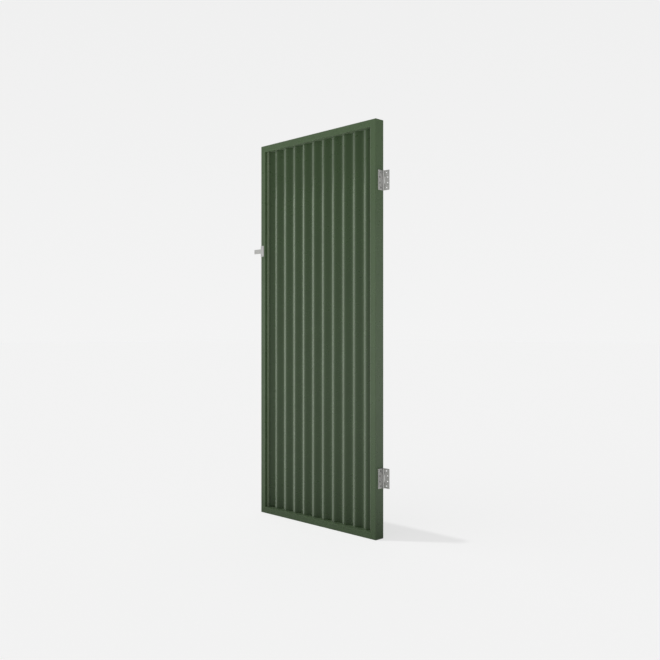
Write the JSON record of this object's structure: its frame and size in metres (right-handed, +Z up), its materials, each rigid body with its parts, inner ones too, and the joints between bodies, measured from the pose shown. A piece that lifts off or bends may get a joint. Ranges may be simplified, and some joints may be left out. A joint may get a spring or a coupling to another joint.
{
  "type": "corrugated steel gate",
  "caption": "Narrow tall gate leaf: a rectangular tube frame filled with vertical corrugated steel sheet, hung on butt hinges at one side, with a T-shaped latch tongue at the other.",
  "frame": {"origin": "middle of the lower post leaf's mounting face", "axes": "+X from the latch side to the hinge side, +Y from the gate's front to its back, +Z up along the pins"},
  "size_m": [0.978, 0.063, 2.1],
  "materials": {
    "green_coat": "satin dark green powder coat",
    "sheet_coat": "satin dark green coil coat",
    "zinc": "dull zinc plate"
  },
  "bodies": {
    "root": {"lower_post_leaf": "zinc", "upper_post_leaf": "zinc", "lower_hinge_pin": "zinc", "upper_hinge_pin": "zinc"},
    "gate_leaf": {"latch_stile": "green_coat", "top_rail": "green_coat", "hinge_stile": "green_coat", "bottom_rail": "green_coat", "latch_side_angle": "green_coat", "top_angle": "green_coat", "hinge_side_angle": "green_coat", "bottom_angle": "green_coat", "latch_side_bead": "green_coat", "hinge_side_bead": "green_coat", "corrugated_sheet": "sheet_coat", "lower_gate_leaf": "zinc", "upper_gate_leaf": "zinc", "latch_tongue": "zinc"}
  },
  "joints": [
    {"name": "gate_swing", "type": "hinge", "parent": "root", "child": "gate_leaf", "pos_m": [-0.0195, -0.006, 0], "axis": [0, 0, 1], "range_deg": [0, 90]}
  ]
}
